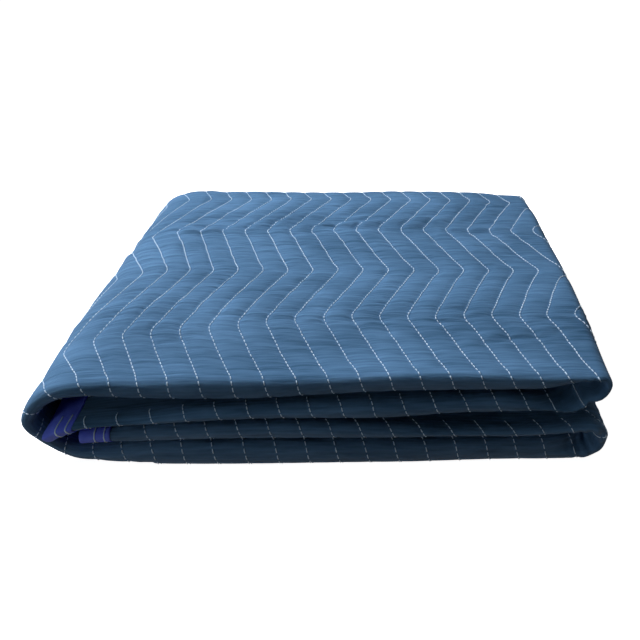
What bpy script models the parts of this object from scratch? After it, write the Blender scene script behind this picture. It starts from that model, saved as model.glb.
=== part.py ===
"""A quilted moving blanket, folded in four one way and in four the other way, lying flat.

The blanket is modelled as it is sewn: a flat padded sheet with zigzag quilting, and binding tape on its four
edges. The sheet is then folded front to back (half, and half again), which gives a long packet of four plies.
The packet is folded side to side (both ends to the middle, then closed like a book), so that sixteen plies lie
on each other. Metres, +Z up, front at -Y, resting on z = 0.

Three measures place a point of the flat sheet: along (the sheet's length, which runs round the packets),
across (its width, which runs round the plies of a packet) and lift (its height off the middle of the padding).
"""

import bisect
import math

import bmesh
import bpy
from mathutils import Matrix, Vector

MM = 0.001

# The padded sheet
PLY = 4.6 * MM
PLY_PITCH = 5.3 * MM  # from one ply to the next in the folded stack
HEM_PLY = 2.4 * MM  # thickness squeezed under the binding
PADDED_FROM = 44.4 * MM  # from the sheet's edge to where it is full again
SHEET_WIDTH = 1995 * MM

# The quilting
STITCH_PITCH = 24.9 * MM
FIRST_STITCH = 16 * MM
ZIGZAG_HALF = 124 * MM  # across the sheet, from one turn of the zigzag to the next
ZIGZAG_SIDE = 21 * MM  # half of its sideways swing
FRONT_TURN = 86 * MM  # from the front of the stack to the zigzag's first turn on top
ROW_LEAN = 0.08  # how far the front turns run back, for each metre to the right
ROW_DRIFT = 9 * MM  # how far the rows have slid to the left, behind the front
GROOVE = 1.6 * MM
COARSE_STITCHES = 3  # every third row of stitching has a column of the mesh where the quilting is hidden

# The binding tape
TAPE_WIDTH = 26 * MM
TAPE = 0.65 * MM
TAPE_GAP = 0.4 * MM

# The folded stack, from the floor up: packets D, C, B and A
DEPTH = 500 * MM
HALF_PACKET = 1.5 * PLY_PITCH + PLY / 2
PACKET_GAP = 1.1 * MM
MIDDLE_GAP = 1.8 * MM  # between B and C, whose ends are free
D_LEVEL = HALF_PACKET
C_LEVEL = D_LEVEL + 2 * HALF_PACKET + PACKET_GAP
B_LEVEL = C_LEVEL + 2 * HALF_PACKET + MIDDLE_GAP
A_LEVEL = B_LEVEL + 2 * HALF_PACKET + PACKET_GAP
STACK = A_LEVEL + HALF_PACKET

# Side to side, along the middle of the packet of plies: x, height, share of the packet's full thickness
INNER_END = [
    (-193 * MM, 28.5 * MM, 0.84),
    (-165 * MM, 29.9 * MM, 0.92),
    (-125 * MM, C_LEVEL, 1.0),
]
OVER_LOWER_FOLD = [(150 * MM, C_LEVEL, 1.0), (188 * MM, C_LEVEL + 0.6 * MM, 1.0)]
LOWER_FOLD = {"x": 220.5 * MM, "top": C_LEVEL + 2 * MM, "bottom": D_LEVEL + 2 * MM, "share": 1.0}
UNDER_LOWER_FOLD = [(188 * MM, D_LEVEL + 0.4 * MM, 1.0), (150 * MM, D_LEVEL, 1.0)]
SPINE = [
    (-135 * MM, D_LEVEL, 1.0),
    (-160 * MM, 9.5 * MM, 0.88),
    (-181 * MM, 9.6 * MM, 0.70),
    (-204 * MM, 13.4 * MM, 0.60),
    (-218.5 * MM, 24.4 * MM, 0.57),
    (-228 * MM, 35.5 * MM, 0.57),
    (-232 * MM, 46.5 * MM, 0.57),
    (-226 * MM, 57.5 * MM, 0.58),
    (-215.5 * MM, 66.6 * MM, 0.64),
    (-198 * MM, 72.6 * MM, 0.80),
    (-170 * MM, A_LEVEL, 1.0),
]
OVER_UPPER_FOLD = [(140 * MM, A_LEVEL, 1.0), (184 * MM, 76.6 * MM, 0.84)]
UPPER_FOLD = {"x": 224.5 * MM, "top": 79.4 * MM, "bottom": 66.6 * MM, "share": 0.58}
UNDER_UPPER_FOLD = [(188 * MM, 57.8 * MM, 0.82), (140 * MM, B_LEVEL, 1.0)]
DROOPING_END = [
    (-140 * MM, B_LEVEL, 1.0),
    (-170 * MM, 53.2 * MM, 1.0),
    (-190 * MM, 50.6 * MM, 0.97),
    (-205 * MM, 45.2 * MM, 0.94),
    (-213 * MM, 39.4 * MM, 0.92),
]

# How the stack has settled
SKEW = 0.062  # metres that the stack leans to the right, for each metre towards the back
CROWN = 1.1  # height of the middle, to that of an even stack
FRONT_HEIGHT = 0.965
BACK_HEIGHT = 1.075
BACK_DROOP = 0.025  # how much of that is lost over the back folds
CORNER_DROOP = 0.05  # and more at the right of them

# The mesh
DEPTH_LINES = [46 * MM, *(FRONT_TURN + i * ZIGZAG_HALF for i in range(4))]  # rows in every ply, from the front
SPINE_STEPS = 14
SIDE_FOLD_STEPS = 6
OUTER_TURN_STEPS = 6
INNER_TURN_STEPS = 4
END_STEPS = 4

CLOTH_BLUE = (0.055, 0.115, 0.24, 1.0)
TAPE_BLUE = (0.02, 0.035, 0.42, 1.0)


def ease(share):
    """A smooth step from 0 to 1."""
    share = min(max(share, 0.0), 1.0)
    return share * share * (3 - 2 * share)


def between(low, high, steps):
    """Evenly spaced places from low to high, both included."""
    return [low + (high - low) * i / steps for i in range(steps + 1)]


def rounded(stations, steps=24):
    """Points on a smooth curve through the stations (Catmull-Rom), which are tuples of equal length."""
    ends = [stations[0], *stations, stations[-1]]
    points = []
    for four in zip(ends, ends[1:], ends[2:], ends[3:]):
        for i in range(steps):
            t = i / steps
            point = []
            for p, q, r, s in zip(*four):
                bend = (2 * p - 5 * q + 4 * r - s) * t * t + (3 * q - p - 3 * r + s) * t**3
                point.append(0.5 * (2 * q + (r - p) * t + bend))
            points.append(tuple(point))
    points.append(stations[-1])
    return points


def side_fold(x, top, bottom, share):
    """Points on a half circle from one level down to the next, round the stack's right side."""
    radius, middle = (top - bottom) / 2, (top + bottom) / 2
    angles = between(0, math.pi, 48)
    return [(x + radius * math.sin(a), middle + radius * math.cos(a), share) for a in angles]


class PacketLine:
    """The middle of the packet of plies, from the inner free end round to the drooping one."""

    def __init__(self):
        self.stretches = {}
        self.points = []
        self.lengths = []
        self.add("inner_end", rounded(INNER_END))
        lower = side_fold(**LOWER_FOLD)
        self.add("over_lower_fold", rounded([*OVER_LOWER_FOLD, lower[0]]))
        self.add("lower_fold", lower)
        self.add("under_lower_fold", rounded([lower[-1], *UNDER_LOWER_FOLD]))
        self.add("spine", rounded(SPINE))
        upper = side_fold(**UPPER_FOLD)
        self.add("over_upper_fold", rounded([*OVER_UPPER_FOLD, upper[0]]))
        self.add("upper_fold", upper)
        self.add("under_upper_fold", rounded([upper[-1], *UNDER_UPPER_FOLD]))
        self.add("drooping_end", rounded(DROOPING_END))
        self.length = self.lengths[-1]

    def add(self, name, points):
        start = None
        for point in points:
            step = math.dist(point[:2], self.points[-1][:2]) if self.points else 0.0
            self.lengths.append(self.lengths[-1] + step if self.points else 0.0)
            self.points.append(point)
            start = self.lengths[-1] if start is None else start
        self.stretches[name] = (start, self.lengths[-1])

    def at(self, along):
        """(x, height, share of the thickness) there; past an end the line runs straight on."""
        i = min(max(bisect.bisect_right(self.lengths, along), 1), len(self.points) - 1)
        while self.lengths[i] == self.lengths[i - 1]:
            i -= 1
        share = (along - self.lengths[i - 1]) / (self.lengths[i] - self.lengths[i - 1])
        return [p + (q - p) * share for p, q in zip(self.points[i - 1], self.points[i])]

    def frame(self, along, reach=1.5 * MM):
        """The point there, the unit vector (x, height) that leads outwards, and the share."""
        x, height, share = self.at(along)
        x0, height0, _ = self.at(along - reach)
        x1, height1, _ = self.at(along + reach)
        size = math.hypot(x1 - x0, height1 - height0)
        return x, height, -(height1 - height0) / size, (x1 - x0) / size, share


LINE = PacketLine()

# Front to back: the middle of the sheet through the four plies of the packet
OUTER_TURN = 1.5 * PLY_PITCH
INNER_TURN = 0.5 * PLY_PITCH
FRONT_Y = -DEPTH / 2 + OUTER_TURN + PLY / 2
BACK_Y = DEPTH / 2 - INNER_TURN - PLY / 2
INNER_RUN = BACK_Y - FRONT_Y
TURNS = math.pi * (OUTER_TURN + 2 * INNER_TURN)
EDGE_RUN = (SHEET_WIDTH - TURNS - 2 * INNER_RUN) / 2
EDGE_Y = FRONT_Y + EDGE_RUN
STRETCHES = [
    EDGE_RUN,
    math.pi * OUTER_TURN,
    INNER_RUN,
    math.pi * INNER_TURN,
    INNER_RUN,
    math.pi * INNER_TURN,
    EDGE_RUN,
]
ROW_MARKS = [sum(STRETCHES[:i]) for i in range(8)]


def ply_fold(across, lift):
    """(y, height in the packet) of a point of the flat sheet once it is folded front to back."""
    i = min(max(bisect.bisect_right(ROW_MARKS, across) - 1, 0), 6)
    on = across - ROW_MARKS[i]
    if i == 0:
        return EDGE_Y - on, -OUTER_TURN - lift
    if i == 1:
        radius, angle = OUTER_TURN + lift, on / OUTER_TURN
        return FRONT_Y - radius * math.sin(angle), -radius * math.cos(angle)
    if i == 2:
        return FRONT_Y + on, OUTER_TURN + lift
    if i == 3:
        radius, angle = INNER_TURN + lift, on / INNER_TURN
        return BACK_Y + radius * math.sin(angle), 2 * INNER_TURN + radius * math.cos(angle)
    if i == 4:
        return BACK_Y - on, INNER_TURN - lift
    if i == 5:
        radius, angle = INNER_TURN - lift, on / INNER_TURN
        return FRONT_Y - radius * math.sin(angle), radius * math.cos(angle)
    return FRONT_Y + on, -INNER_TURN + lift


def settled(x, y, z):
    """Where the plies' weight and the handling have left a point of the evenly folded stack."""
    up = z / STACK
    front = ease((-y - 120 * MM) / (120 * MM))
    back = ease((y - 130 * MM) / (110 * MM))
    height = CROWN
    height -= (CROWN - FRONT_HEIGHT) * front
    height -= (CROWN - BACK_HEIGHT) * back
    height -= BACK_DROOP * max(y - EDGE_Y + TAPE_WIDTH, 0) / TAPE_WIDTH
    height -= CORNER_DROOP * back * ease((x - 165 * MM) / (55 * MM))
    height += 0.012 * math.sin(x / (62 * MM) + 0.6) * math.sin(y / (75 * MM) + 0.4)
    sway = 2.4 * math.sin(2.6 * math.pi * up + 0.4) + 1.7 * math.sin(x / (58 * MM) + 3 * up)
    y += sway * MM * front + 3 * MM * math.sin(x / (66 * MM) + 2 * up) * back
    x += SKEW * y
    return Vector((x, y, z * height))


def folded(along, across, lift):
    """Where a point of the flat sheet lies once the blanket is folded both ways and has settled."""
    y, level = ply_fold(across, lift)
    x, height, out_x, out_z, share = LINE.frame(along)
    level *= share
    return settled(x + level * out_x, y, height + level * out_z)


def zigzag(along, across):
    """How far aside a row of quilting lies there: back at the turn nearest the front, on at the next."""
    behind = across - ROW_MARKS[2] + FRONT_Y + DEPTH / 2
    lean = ROW_LEAN * (along - (LINE.stretches["spine"][1] + LINE.stretches["upper_fold"][0]) / 2)
    turns = (behind - FRONT_TURN - lean * ease(1.5 - behind / (160 * MM))) / ZIGZAG_HALF
    drift = ROW_DRIFT * ease((behind - FRONT_TURN) / ZIGZAG_HALF)
    return ZIGZAG_SIDE * (2 * abs((turns + 1) % 2 - 1) - 1) - drift


def column_table():
    """[(place along the sheet, share of the zigzag there, kind)], kind coarse, groove or crown."""
    over_lower, lower = LINE.stretches["over_lower_fold"], LINE.stretches["lower_fold"]
    under_lower, spine = LINE.stretches["under_lower_fold"], LINE.stretches["spine"]
    over, upper, under = (LINE.stretches[n] for n in ("over_upper_fold", "upper_fold", "under_upper_fold"))
    drooping = LINE.stretches["drooping_end"][0]
    inner = TAPE_WIDTH + 40 * MM
    bends = [
        (TAPE_WIDTH, inner, 2),
        (*over_lower, 2),
        (*lower, SIDE_FOLD_STEPS),
        (*under_lower, 2),
        (*spine, SPINE_STEPS),
        (*over, 2),
        (*upper, SIDE_FOLD_STEPS),
        (*under, 2),
        (drooping, LINE.length - TAPE_WIDTH, END_STEPS),
    ]
    columns = [(0.0, 0.0, "coarse")]
    for n, (low, high, steps) in enumerate(bends):
        if low == columns[-1][0]:
            columns.pop()
        columns += [(place, 0.0, "coarse") for place in between(low, high, steps)]
        if n == len(bends) - 1:
            break
        following = bends[n + 1][0]
        first = math.ceil((high + STITCH_PITCH / 2 - FIRST_STITCH) / STITCH_PITCH)
        last = math.floor((following - STITCH_PITCH / 2 - FIRST_STITCH) / STITCH_PITCH)
        for stitch in range(first, last + 1):
            place = FIRST_STITCH + STITCH_PITCH * stitch
            share = ease(min(place - high, following - place) / (2 * STITCH_PITCH))
            coarse = (stitch - first) % COARSE_STITCHES == COARSE_STITCHES // 2
            kind = "coarse groove" if coarse else "groove"
            columns.append((place, share, kind))
            if stitch < last:
                columns.append((place + STITCH_PITCH / 2, share, "crown"))
    columns.append((LINE.length, 0.0, "coarse"))
    return columns


def row_table():
    """The places across the sheet where its mesh has a row; those of all plies lie above each other."""
    front = [line - (FRONT_Y + DEPTH / 2) for line in DEPTH_LINES]
    rows = [0.0, TAPE_WIDTH]
    rows += sorted(EDGE_RUN - line for line in front)
    rows += between(ROW_MARKS[1], ROW_MARKS[2], OUTER_TURN_STEPS)
    rows += [ROW_MARKS[2] + line for line in [*front, EDGE_RUN - TAPE_WIDTH]]
    rows += between(ROW_MARKS[3], ROW_MARKS[4], INNER_TURN_STEPS)
    rows += sorted(ROW_MARKS[5] - line for line in [*front, EDGE_RUN - TAPE_WIDTH])
    rows += between(ROW_MARKS[5], ROW_MARKS[6], INNER_TURN_STEPS)
    rows += [ROW_MARKS[6] + line for line in front]
    rows += [SHEET_WIDTH - TAPE_WIDTH, SHEET_WIDTH]
    return rows


def quilting_shows(along, across):
    """The quilting is raised on the top of the stack, and on the front of each packet."""
    if LINE.stretches["spine"][1] < along < LINE.stretches["upper_fold"][0]:
        return ROW_MARKS[1] + MM < across < ROW_MARKS[3] + MM
    return ROW_MARKS[1] + MM < across < ROW_MARKS[2] - MM


def half_thickness(along, across):
    """Half the sheet's thickness between the quilting: squeezed at the edges, under the tape."""
    edge = min(along, LINE.length - along, across, SHEET_WIDTH - across)
    swell = ease((edge - TAPE_WIDTH) / (PADDED_FROM - TAPE_WIDTH))
    return (HEM_PLY + (PLY - HEM_PLY) * swell) / 2


def finish(obj, colour, roughness):
    """Gives a piece its material."""
    material = bpy.data.materials.new(obj.name)
    material.use_nodes = True
    shader = material.node_tree.nodes["Principled BSDF"]
    shader.inputs["Base Color"].default_value = colour
    shader.inputs["Roughness"].default_value = roughness
    shader.inputs["Metallic"].default_value = 0.0
    obj.data.materials.append(material)


def object_from(bm, name, colour, roughness):
    """Turns a finished bmesh into a piece of triangles that face outwards."""
    bmesh.ops.triangulate(bm, faces=bm.faces)
    bmesh.ops.recalc_face_normals(bm, faces=bm.faces)
    mesh = bpy.data.meshes.new(name)
    bm.to_mesh(mesh)
    bm.free()
    obj = bpy.data.objects.new(name, mesh)
    finish(obj, colour, roughness)
    return obj


def quilted_sheet():
    """The padded sheet: a flat grid with its columns along the quilting, thickened and then folded."""
    columns, rows = column_table(), row_table()
    bm = bmesh.new()
    bmesh.ops.create_grid(bm, x_segments=len(columns) - 1, y_segments=len(rows) - 1, size=0.5)
    bmesh.ops.solidify(bm, geom=bm.faces[:], thickness=0.1)
    where = {}
    for v in bm.verts:
        column = round((v.co.x + 0.5) * (len(columns) - 1))
        row = round((v.co.y + 0.5) * (len(rows) - 1))
        where[v] = (column, row, 1 if v.co.z > -0.05 else -1)
    for v, (column, row, side) in where.items():
        along, share, kind = columns[column]
        across = rows[row]
        lift = half_thickness(along, across)
        if "groove" in kind and quilting_shows(along, across):
            lift -= GROOVE
        v.co = folded(along + share * zigzag(along, across), across, side * lift)
    hidden = []
    for e in bm.edges:
        (column, row, side), (other_column, other_row, other_side) = (where[v] for v in e.verts)
        if column != other_column or "coarse" in columns[column][2]:
            continue
        along = columns[column][0]
        shows = quilting_shows(along, rows[row]) or quilting_shows(along, rows[other_row])
        if side < 0 or side != other_side or not shows:
            hidden.append(e)
    bmesh.ops.dissolve_edges(bm, edges=hidden, use_verts=True)
    return object_from(bm, "blanket", CLOTH_BLUE, 0.85)


def tape_section():
    """The tape's U-shaped cut: (distance in from the sheet's edge, height off its middle), round it."""
    inner = HEM_PLY / 2 + TAPE_GAP
    outer = inner + TAPE
    reach = TAPE_WIDTH - MM
    return [
        (reach, inner),
        (reach, outer),
        (-TAPE_GAP, outer),
        (-TAPE_GAP - TAPE, outer / 2),
        (-TAPE_GAP - TAPE, -outer / 2),
        (-TAPE_GAP, -outer),
        (reach, -outer),
        (reach, -inner),
        (-TAPE_GAP, -inner),
        (-TAPE_GAP, inner),
    ]


def binding(name, stations, place):
    """A strip of tape with its section at each station.

    place turns a station, a distance in from the sheet's edge and a lift to along, across and lift.
    """
    bm = bmesh.new()
    rings = []
    for station in stations:
        rings.append([bm.verts.new(folded(*place(station, *point))) for point in tape_section()])
    for ring, following in zip(rings, rings[1:]):
        for i in range(len(ring)):
            bm.faces.new((ring[i - 1], ring[i], following[i], following[i - 1]))
    upper_leg, bend, lower_leg = (0, 1, 2, 9), (9, 2, 3, 4, 5, 8), (8, 5, 6, 7)
    for ring in (rings[0], rings[-1]):
        for corners in (upper_leg, bend, lower_leg):
            bm.faces.new([ring[i] for i in corners])
    return object_from(bm, name, TAPE_BLUE, 0.6)


def main():
    for obj in list(bpy.data.objects):
        bpy.data.objects.remove(obj)
    rows = row_table()
    inset = TAPE_WIDTH - MM + TAPE_GAP
    columns = [place for place, _, kind in column_table() if "coarse" in kind]
    columns = [inset, *columns[2:-2], LINE.length - inset]
    pieces = [
        quilted_sheet(),
        binding("end_binding_inner", rows, lambda s, inwards, lift: (inwards, s, lift)),
        binding("end_binding_drooping", rows, lambda s, inwards, lift: (LINE.length - inwards, s, lift)),
        binding("side_binding_outer", columns, lambda s, inwards, lift: (s, inwards, lift)),
        binding("side_binding_inner", columns, lambda s, inwards, lift: (s, SHEET_WIDTH - inwards, lift)),
    ]
    corners = [v.co for obj in pieces for v in obj.data.vertices]
    middle = [(min(c[i] for c in corners) + max(c[i] for c in corners)) / 2 for i in (0, 1)]
    for obj in pieces:
        obj.data.transform(Matrix.Translation((-middle[0], -middle[1], 0)))
    collection = bpy.data.collections.new("moving_blanket")
    bpy.context.scene.collection.children.link(collection)
    for obj in pieces:
        collection.objects.link(obj)


main()
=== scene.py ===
import math

import bpy
import numpy as np
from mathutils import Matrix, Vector, noise


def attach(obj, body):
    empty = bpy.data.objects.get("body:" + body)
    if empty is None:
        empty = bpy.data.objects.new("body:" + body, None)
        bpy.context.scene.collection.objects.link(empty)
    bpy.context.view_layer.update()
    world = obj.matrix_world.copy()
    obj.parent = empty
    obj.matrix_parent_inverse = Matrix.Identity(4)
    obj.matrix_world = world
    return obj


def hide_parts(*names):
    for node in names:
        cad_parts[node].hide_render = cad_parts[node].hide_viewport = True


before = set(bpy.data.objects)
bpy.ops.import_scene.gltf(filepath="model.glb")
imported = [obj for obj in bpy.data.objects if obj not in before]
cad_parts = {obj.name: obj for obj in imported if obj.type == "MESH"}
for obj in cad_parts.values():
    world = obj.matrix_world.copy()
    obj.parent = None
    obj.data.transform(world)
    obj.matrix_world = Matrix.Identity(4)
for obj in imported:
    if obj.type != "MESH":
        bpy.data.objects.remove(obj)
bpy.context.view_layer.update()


# ---------------------------------------------------------------------------------------------------------
# The quilted blanket
# Two faces of plain-woven cotton and polyester with a wadding of recycled fibre between them, stitched
# together in zigzag rows an inch apart. It is cut as one flat sheet, and folded in four both ways.
# ---------------------------------------------------------------------------------------------------------
MM = 0.001

PLY = 4.6 * MM
PLY_PITCH = 5.3 * MM  # from one ply to the next in the folded stack
HEM_PLY = 2.4 * MM  # thickness squeezed under the binding
PADDED_FROM = 44.4 * MM  # from the sheet's edge to where it is full again
SHEET_WIDTH = 1995 * MM

STITCH_PITCH = 24.9 * MM
FIRST_STITCH = 16 * MM
ZIGZAG_HALF = 124 * MM  # across the sheet, from one turn of the zigzag to the next
ZIGZAG_SIDE = 21 * MM  # half of its sideways swing
TOP_TURNS = 4  # turns of each row on top of the stack
FRONT_TURN = 86 * MM  # from the front of the stack to the zigzag's first turn on top
TURN_RISE = 37 * MM  # how much further back the front turns lie at the right than at the left
LEFT_TURN = 21 * MM  # how much closer to the front than FRONT_TURN the leftmost one lies
ROW_SHIFTS = [  # behind the front, and how far the rows have slid to the left there
    (0, 5 * MM),
    (86 * MM, 6.5 * MM),
    (210 * MM, 13.5 * MM),
    (334 * MM, 9 * MM),
    (460 * MM, 9 * MM),
]
CONVERGE = 0.038  # how much closer the rows lie at the front than further back
LEFT_SHIFT = 9 * MM  # how far the leftmost rows have slid to the right near the front
ROW_WAVERS = [(0.7, 21, 13, 0), (1.6, 90, 70, 3)]  # how far each row strays: see layered_noise

GROOVE = 1.1 * MM  # how deep the thread pulls the cloth in
PUFF = 0.5 * MM  # how far the wadding stands proud between two rows
FULLNESS = 2.6  # how wide and steep-sided it is there: 2 is a plain arch
TAUT_FRONT = 0.6  # how much of the relief is pulled flat round the front bight
TAUT_BACK = 0.55  # and over the back fold
FLOOR_PRESS = 0.75  # how much of it is pressed flat against the floor
EVEN_RIPPLES = 1.1  # mm: how high the cloth ripples between the rows on top
FRONT_RIPPLES = 0.12  # mm: the same close to the front, where it is smooth
GATHERS = [(100, 24, 3.0), (345, 50, 6.4)]  # mm behind the front, half their width, and how much more
RIPPLES = [(0.5, 48, 8, 8), (0.45, 75, 17, 11)]  # see layered_noise
UNEVEN_PUFF = [(0.4, 38, 30, 5)]

TAPE_WIDTH = 26 * MM

# The folded stack, from the floor up: packets D, C, B and A
DEPTH = 500 * MM
HALF_PACKET = 1.5 * PLY_PITCH + PLY / 2
PACKET_GAP = 1.1 * MM
MIDDLE_GAP = 1.8 * MM  # between B and C, whose ends are free
D_LEVEL = HALF_PACKET
C_LEVEL = D_LEVEL + 2 * HALF_PACKET + PACKET_GAP
B_LEVEL = C_LEVEL + 2 * HALF_PACKET + MIDDLE_GAP
A_LEVEL = B_LEVEL + 2 * HALF_PACKET + PACKET_GAP
STACK = A_LEVEL + HALF_PACKET

# Side to side, along the middle of the packet of plies: x, height, share of the packet's full thickness
INNER_END = [
    (-193 * MM, 28.5 * MM, 0.84),
    (-165 * MM, 29.9 * MM, 0.92),
    (-125 * MM, C_LEVEL, 1.0),
]
OVER_LOWER_FOLD = [(150 * MM, C_LEVEL, 1.0), (188 * MM, C_LEVEL + 0.6 * MM, 1.0)]
LOWER_FOLD = {"x": 220.5 * MM, "top": C_LEVEL + 2 * MM, "bottom": D_LEVEL + 2 * MM, "share": 1.0}
UNDER_LOWER_FOLD = [(188 * MM, D_LEVEL + 0.4 * MM, 1.0), (150 * MM, D_LEVEL, 1.0)]
SPINE = [
    (-135 * MM, D_LEVEL, 1.0),
    (-160 * MM, 9.5 * MM, 0.88),
    (-181 * MM, 9.6 * MM, 0.70),
    (-204 * MM, 13.4 * MM, 0.60),
    (-218.5 * MM, 24.4 * MM, 0.57),
    (-228 * MM, 35.5 * MM, 0.57),
    (-232 * MM, 46.5 * MM, 0.57),
    (-226 * MM, 57.5 * MM, 0.58),
    (-215.5 * MM, 66.6 * MM, 0.64),
    (-198 * MM, 72.6 * MM, 0.80),
    (-170 * MM, A_LEVEL, 1.0),
]
OVER_UPPER_FOLD = [(140 * MM, A_LEVEL, 1.0), (184 * MM, 76.6 * MM, 0.84)]
UPPER_FOLD = {"x": 224.5 * MM, "top": 79.4 * MM, "bottom": 66.6 * MM, "share": 0.58}
UNDER_UPPER_FOLD = [(188 * MM, 57.8 * MM, 0.82), (140 * MM, B_LEVEL, 1.0)]
DROOPING_END = [
    (-140 * MM, B_LEVEL, 1.0),
    (-170 * MM, 53.2 * MM, 1.0),
    (-190 * MM, 50.6 * MM, 0.97),
    (-205 * MM, 45.2 * MM, 0.94),
    (-213 * MM, 39.4 * MM, 0.92),
]

MIDDLE_X = 0.52 * MM  # the folded stack is moved by this, so that its box stands centred
MIDDLE_Y = 1.03 * MM

# How the stack has settled
SKEW = 0.062  # metres that it leans to the right, for each metre towards the back
CROWN = 1.1  # height of the middle, to that of an even stack
FRONT_HEIGHT = 0.965
BACK_HEIGHT = 1.075
BACK_DROOP = 0.05  # how much of that is lost over the back folds
CORNER_DROOP = 0.05  # and more at the right of them
SPINE_LIFT = 0.05  # how much fuller the spine is at the back
ROLL = 0.012  # how far the height rolls up and down
FRONT_SWAY = 2.4  # mm that the fronts stand out or back, from one packet to the next
SIDE_SWAY = 1.7  # mm that they stand out or back, from left to right
BACK_SWAY = 3 * MM  # the same at the back
SPINE_BULGE = 2 * MM  # how far the spine stands out at the front
LEFT_SHOULDER = 4 * MM  # how far the spine's upper side bulges to the left
RIGHT_DRAW = 3 * MM  # how far the right side has drawn in at the front
RIGHT_SHOULDER = 0.6  # the share of that by which the top has drawn in less
FRONT_DRAW = 6 * MM  # how far the lower packets' fronts have drawn back at the right
C_RIGHT = 2.6 * MM  # how much higher C's top lies at the right
B_RIGHT = 1.9 * MM  # and how much wider the gap above it is
POCKET = 26 * MM  # how far the inside of a side fold has drawn back from the front
POCKET_WIDTH = 32 * MM  # half of the pocket's, along the sheet
POCKETS = {"lower_fold": -8 * MM, "upper_fold": 12 * MM}  # how far past the middle of the fold it lies
PLEAT = 8.5 * MM  # from one small pleat to the next where a bight goes round a side fold
PLEAT_DEPTH = 3 * MM
PLEATS_WIDTH = 24 * MM  # half of the stretch that is pleated
TUCK = 6 * MM  # how far the lower side of the upper fold is tucked under at the front

# The drooping end, at the front
FORWARD = 5 * MM  # how far it has slid out there
LOBE = 4 * MM  # and how much further its last few centimetres have
SQUEEZE = 0.7  # how much thinner its upper side is
SQUEEZE_BELOW = 0.3  # the lower side's share of that
DROP = 4 * MM  # how far it hangs lower
REACH = 4 * MM  # and how far it has slid to the left

FRONT_LIE = [  # mm: x, then how far up D's top, C's bottom and top, B's and A's have shifted at the front
    (-240, 0, 0, -2, 0, -6, -1, -1),
    (-200, 0, 0, -3, 0, -12, 1, -2),
    (-183, 1, 1.5, -3, 1, -14, 1, -4),
    (-165, 1.3, 2.4, -2.8, 2, -13, 0, -5),
    (-140, 1.3, 3, -2.4, 2.5, -11, -1.2, -5.5),
    (-103, 1.3, 4, -1, 3, -8.5, -2.6, -4.5),
    (-56, 1.3, 4.6, -0.6, 3, -7, -2.5, -4.5),
    (-10, 1, 4, -1, 2.8, -5, 0.5, -3),
    (50, 0.5, 4.5, -3.2, 3.2, -2, 5, 1.5),
    (108, 0.5, 7, -5.6, 9, 1.5, 7, 3),
    (147, 0.5, 7, -6.4, 10, 3, 7, 2),
    (180, 0.5, 5, -6, 7.5, -1, 6, 1),
    (197, 0.3, 2, -4.4, 3, -4, 6.5, 1),
    (210, 0, 0, -2.8, -2, -4, 5, 0.5),
    (224, 0, 0, -2.4, 0, 1, 1, 0),
    (250, 0, 0, -2, 0, 1, 1, 0),
]


def ease(share):
    """A smooth step from 0 to 1."""
    share = np.clip(share, 0.0, 1.0)
    return share * share * (3 - 2 * share)


def beyond(place, start, span):
    """0 up to the start, 1 from a span further on, and smooth between. The start and the span are in mm."""
    return ease((place - start * MM) / (span * MM))


def bell(distance, width):
    """1 at no distance, falling smoothly to nothing past the width."""
    return np.exp(-((distance / width) ** 2))


def noise_at(x, y, z=0.0):
    """Smooth noise, about -1 to 1, at each of the points."""
    x, y, z = np.broadcast_arrays(x, y, z)
    values = [noise.noise(Vector(spot)) for spot in zip(x.ravel(), y.ravel(), z.ravel())]
    return np.array(values).reshape(x.shape)


def layered_noise(along, across, layers):
    """Noise on the flat sheet; a layer is (height, how long and how wide it is in mm, its own number)."""
    return sum(
        height * noise_at(along / (long * MM), across / (wide * MM), number)
        for height, long, wide, number in layers
    )


def rounded(stations, steps=24):
    """Points on a smooth curve through the stations (Catmull-Rom), which are tuples of equal length."""
    ends = np.array([stations[0], *stations, stations[-1]])
    points = []
    for p, q, r, s in zip(ends, ends[1:], ends[2:], ends[3:]):
        for t in np.linspace(0, 1, steps, endpoint=False):
            bend = (2 * p - 5 * q + 4 * r - s) * t * t + (3 * q - p - 3 * r + s) * t**3
            points.append(0.5 * (2 * q + (r - p) * t + bend))
    points.append(ends[-1])
    return points


SIDE_FOLD_POINTS = 49
RUN_OUT = 10 * MM  # how far the packets' line goes on straight past its ends


def side_fold(x, top, bottom, share):
    """Points on a half circle from one level down to the next, round the stack's right side."""
    radius, middle = (top - bottom) / 2, (top + bottom) / 2
    angles = np.linspace(0, math.pi, SIDE_FOLD_POINTS)
    return [np.array((x + radius * math.sin(a), middle + radius * math.cos(a), share)) for a in angles]


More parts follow.
